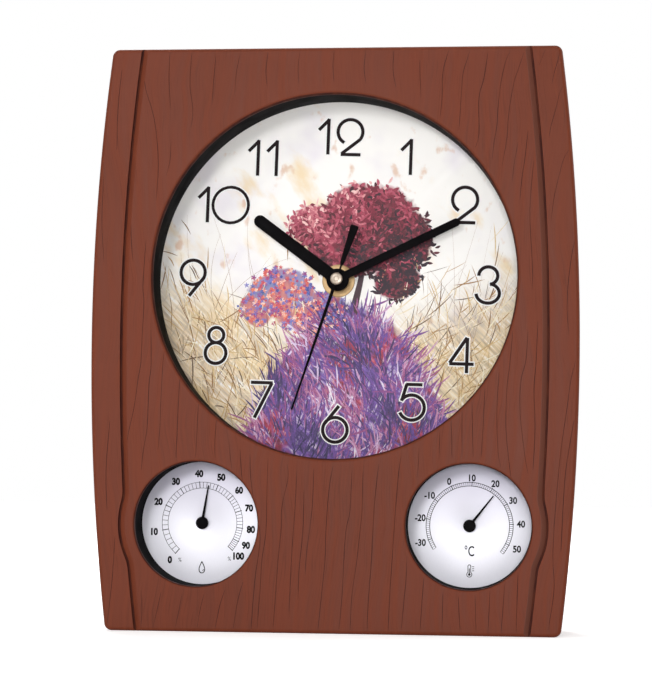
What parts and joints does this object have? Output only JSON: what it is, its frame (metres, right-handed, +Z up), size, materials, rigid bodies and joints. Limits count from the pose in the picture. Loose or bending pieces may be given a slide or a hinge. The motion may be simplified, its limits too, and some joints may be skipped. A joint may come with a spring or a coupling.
{
  "type": "wall clock with weather gauges",
  "caption": "Wall clock in a barrel-sided case, with a large round dial above a round hygrometer and a round thermometer. It hangs by a keyhole or stands on its flat base.",
  "frame": {"origin": "the middle of the casing's width and depth, on its flat base", "axes": "+Z up; the dial faces -Y; +X to the right of someone who looks at the dial"},
  "size_m": [0.2504, 0.05, 0.3],
  "materials": {
    "casing_plastic": "satin, embossed wood grain",
    "black_plastic": "satin",
    "cover_plastic": "matt",
    "clear_lens": "polished",
    "dial_print": "printed, matt",
    "silver_face": "satin",
    "hand_black": "painted black, satin",
    "cap_gold": "pale lacquer",
    "brass": "satin",
    "steel": "zinc plated",
    "wheel_plastic": "moulded",
    "movement_black": "moulded",
    "magnet_grey": "ground",
    "copper": "bare",
    "board_green": "lacquered",
    "battery_jacket": "printed jacket"
  },
  "bodies": {
    "casing": {"front_frame": "casing_plastic", "dial_ring": "black_plastic", "timer_chip": "black_plastic", "hygrometer_cup": "black_plastic", "thermometer_cup": "black_plastic", "rear_cover": "cover_plastic", "hygrometer_clamp": "cover_plastic", "thermometer_clamp": "cover_plastic", "clock_lens": "clear_lens", "hygrometer_lens": "clear_lens", "thermometer_lens": "clear_lens", "dial_plate": "dial_print", "hygrometer_face": "silver_face", "thermometer_face": "silver_face", "hub_washer": "brass", "hub_nut": "brass", "rear_screw_1": "steel", "rear_screw_2": "steel", "rear_screw_3": "steel", "rear_screw_4": "steel", "rear_screw_5": "steel", "rear_screw_6": "steel", "hanger_screw_1": "steel", "hanger_screw_2": "steel", "dial_screw_1": "steel", "dial_screw_2": "steel", "dial_screw_3": "steel", "dial_screw_4": "steel", "hanger_plate": "steel", "stator": "steel", "coil_core": "steel", "quartz_crystal": "steel", "battery_contact_plus": "steel", "battery_contact_minus": "steel", "train_bridge": "wheel_plastic", "coil_bobbin": "wheel_plastic", "movement_case": "movement_black", "movement_cover": "movement_black", "coil_winding": "copper", "hygrometer_spiral": "copper", "thermometer_spiral": "copper", "circuit_board": "board_green", "battery": "battery_jacket"},
    "minute": {"minute_hand": "hand_black", "centre_wheel": "wheel_plastic"},
    "hour": {"hour_hand": "hand_black", "hour_wheel": "wheel_plastic"},
    "second": {"second_hand": "hand_black", "second_hand_cap": "cap_gold", "second_wheel": "wheel_plastic"},
    "third": {"third_wheel": "wheel_plastic"},
    "intermediate": {"intermediate_wheel": "wheel_plastic"},
    "rotor": {"rotor": "wheel_plastic", "rotor_magnet": "magnet_grey"},
    "setting": {"setting_wheel": "wheel_plastic", "setting_knob": "wheel_plastic"},
    "hygrometer_needle": {"hygrometer_pointer": "hand_black"},
    "thermometer_needle": {"thermometer_pointer": "hand_black"}
  },
  "joints": [
    {"name": "minute_spin", "type": "hinge", "parent": "casing", "child": "minute", "pos_m": [0, 0, 0.1821], "axis": [0, 1, 0], "continuous": true},
    {"name": "hour_spin", "type": "hinge", "parent": "casing", "child": "hour", "pos_m": [0, 0, 0.1821], "axis": [0, 1, 0], "continuous": true},
    {"name": "second_spin", "type": "hinge", "parent": "casing", "child": "second", "pos_m": [0, 0, 0.1821], "axis": [0, 1, 0], "continuous": true},
    {"name": "third_spin", "type": "hinge", "parent": "casing", "child": "third", "pos_m": [0.00836, 0, 0.18795], "axis": [0, 1, 0], "continuous": true},
    {"name": "intermediate_spin", "type": "hinge", "parent": "casing", "child": "intermediate", "pos_m": [-0.00217, 0, 0.19021], "axis": [0, 1, 0], "continuous": true},
    {"name": "rotor_spin", "type": "hinge", "parent": "casing", "child": "rotor", "pos_m": [-0.01057, 0, 0.19021], "axis": [0, 1, 0], "continuous": true},
    {"name": "setting_spin", "type": "hinge", "parent": "casing", "child": "setting", "pos_m": [-0.00904, 0, 0.17577], "axis": [0, 1, 0], "continuous": true},
    {"name": "hygrometer_turn", "type": "hinge", "parent": "casing", "child": "hygrometer_needle", "pos_m": [-0.0695, 0, 0.05475], "axis": [0, 1, 0], "range_deg": [-148, 122.3], "stiffness_Nm_per_rad": 0.0005},
    {"name": "thermometer_turn", "type": "hinge", "parent": "casing", "child": "thermometer_needle", "pos_m": [0.0695, 0, 0.05475], "axis": [0, 1, 0], "range_deg": [-162, 91], "stiffness_Nm_per_rad": 0.0005}
  ],
  "couplings": [
    {"joint": "hour_spin", "follows": "minute_spin", "ratio": 0.083333},
    {"joint": "second_spin", "follows": "minute_spin", "ratio": 60},
    {"joint": "third_spin", "follows": "minute_spin", "ratio": -8},
    {"joint": "intermediate_spin", "follows": "minute_spin", "ratio": -300},
    {"joint": "rotor_spin", "follows": "minute_spin", "ratio": 1800},
    {"joint": "setting_spin", "follows": "minute_spin", "ratio": -0.33333}
  ]
}
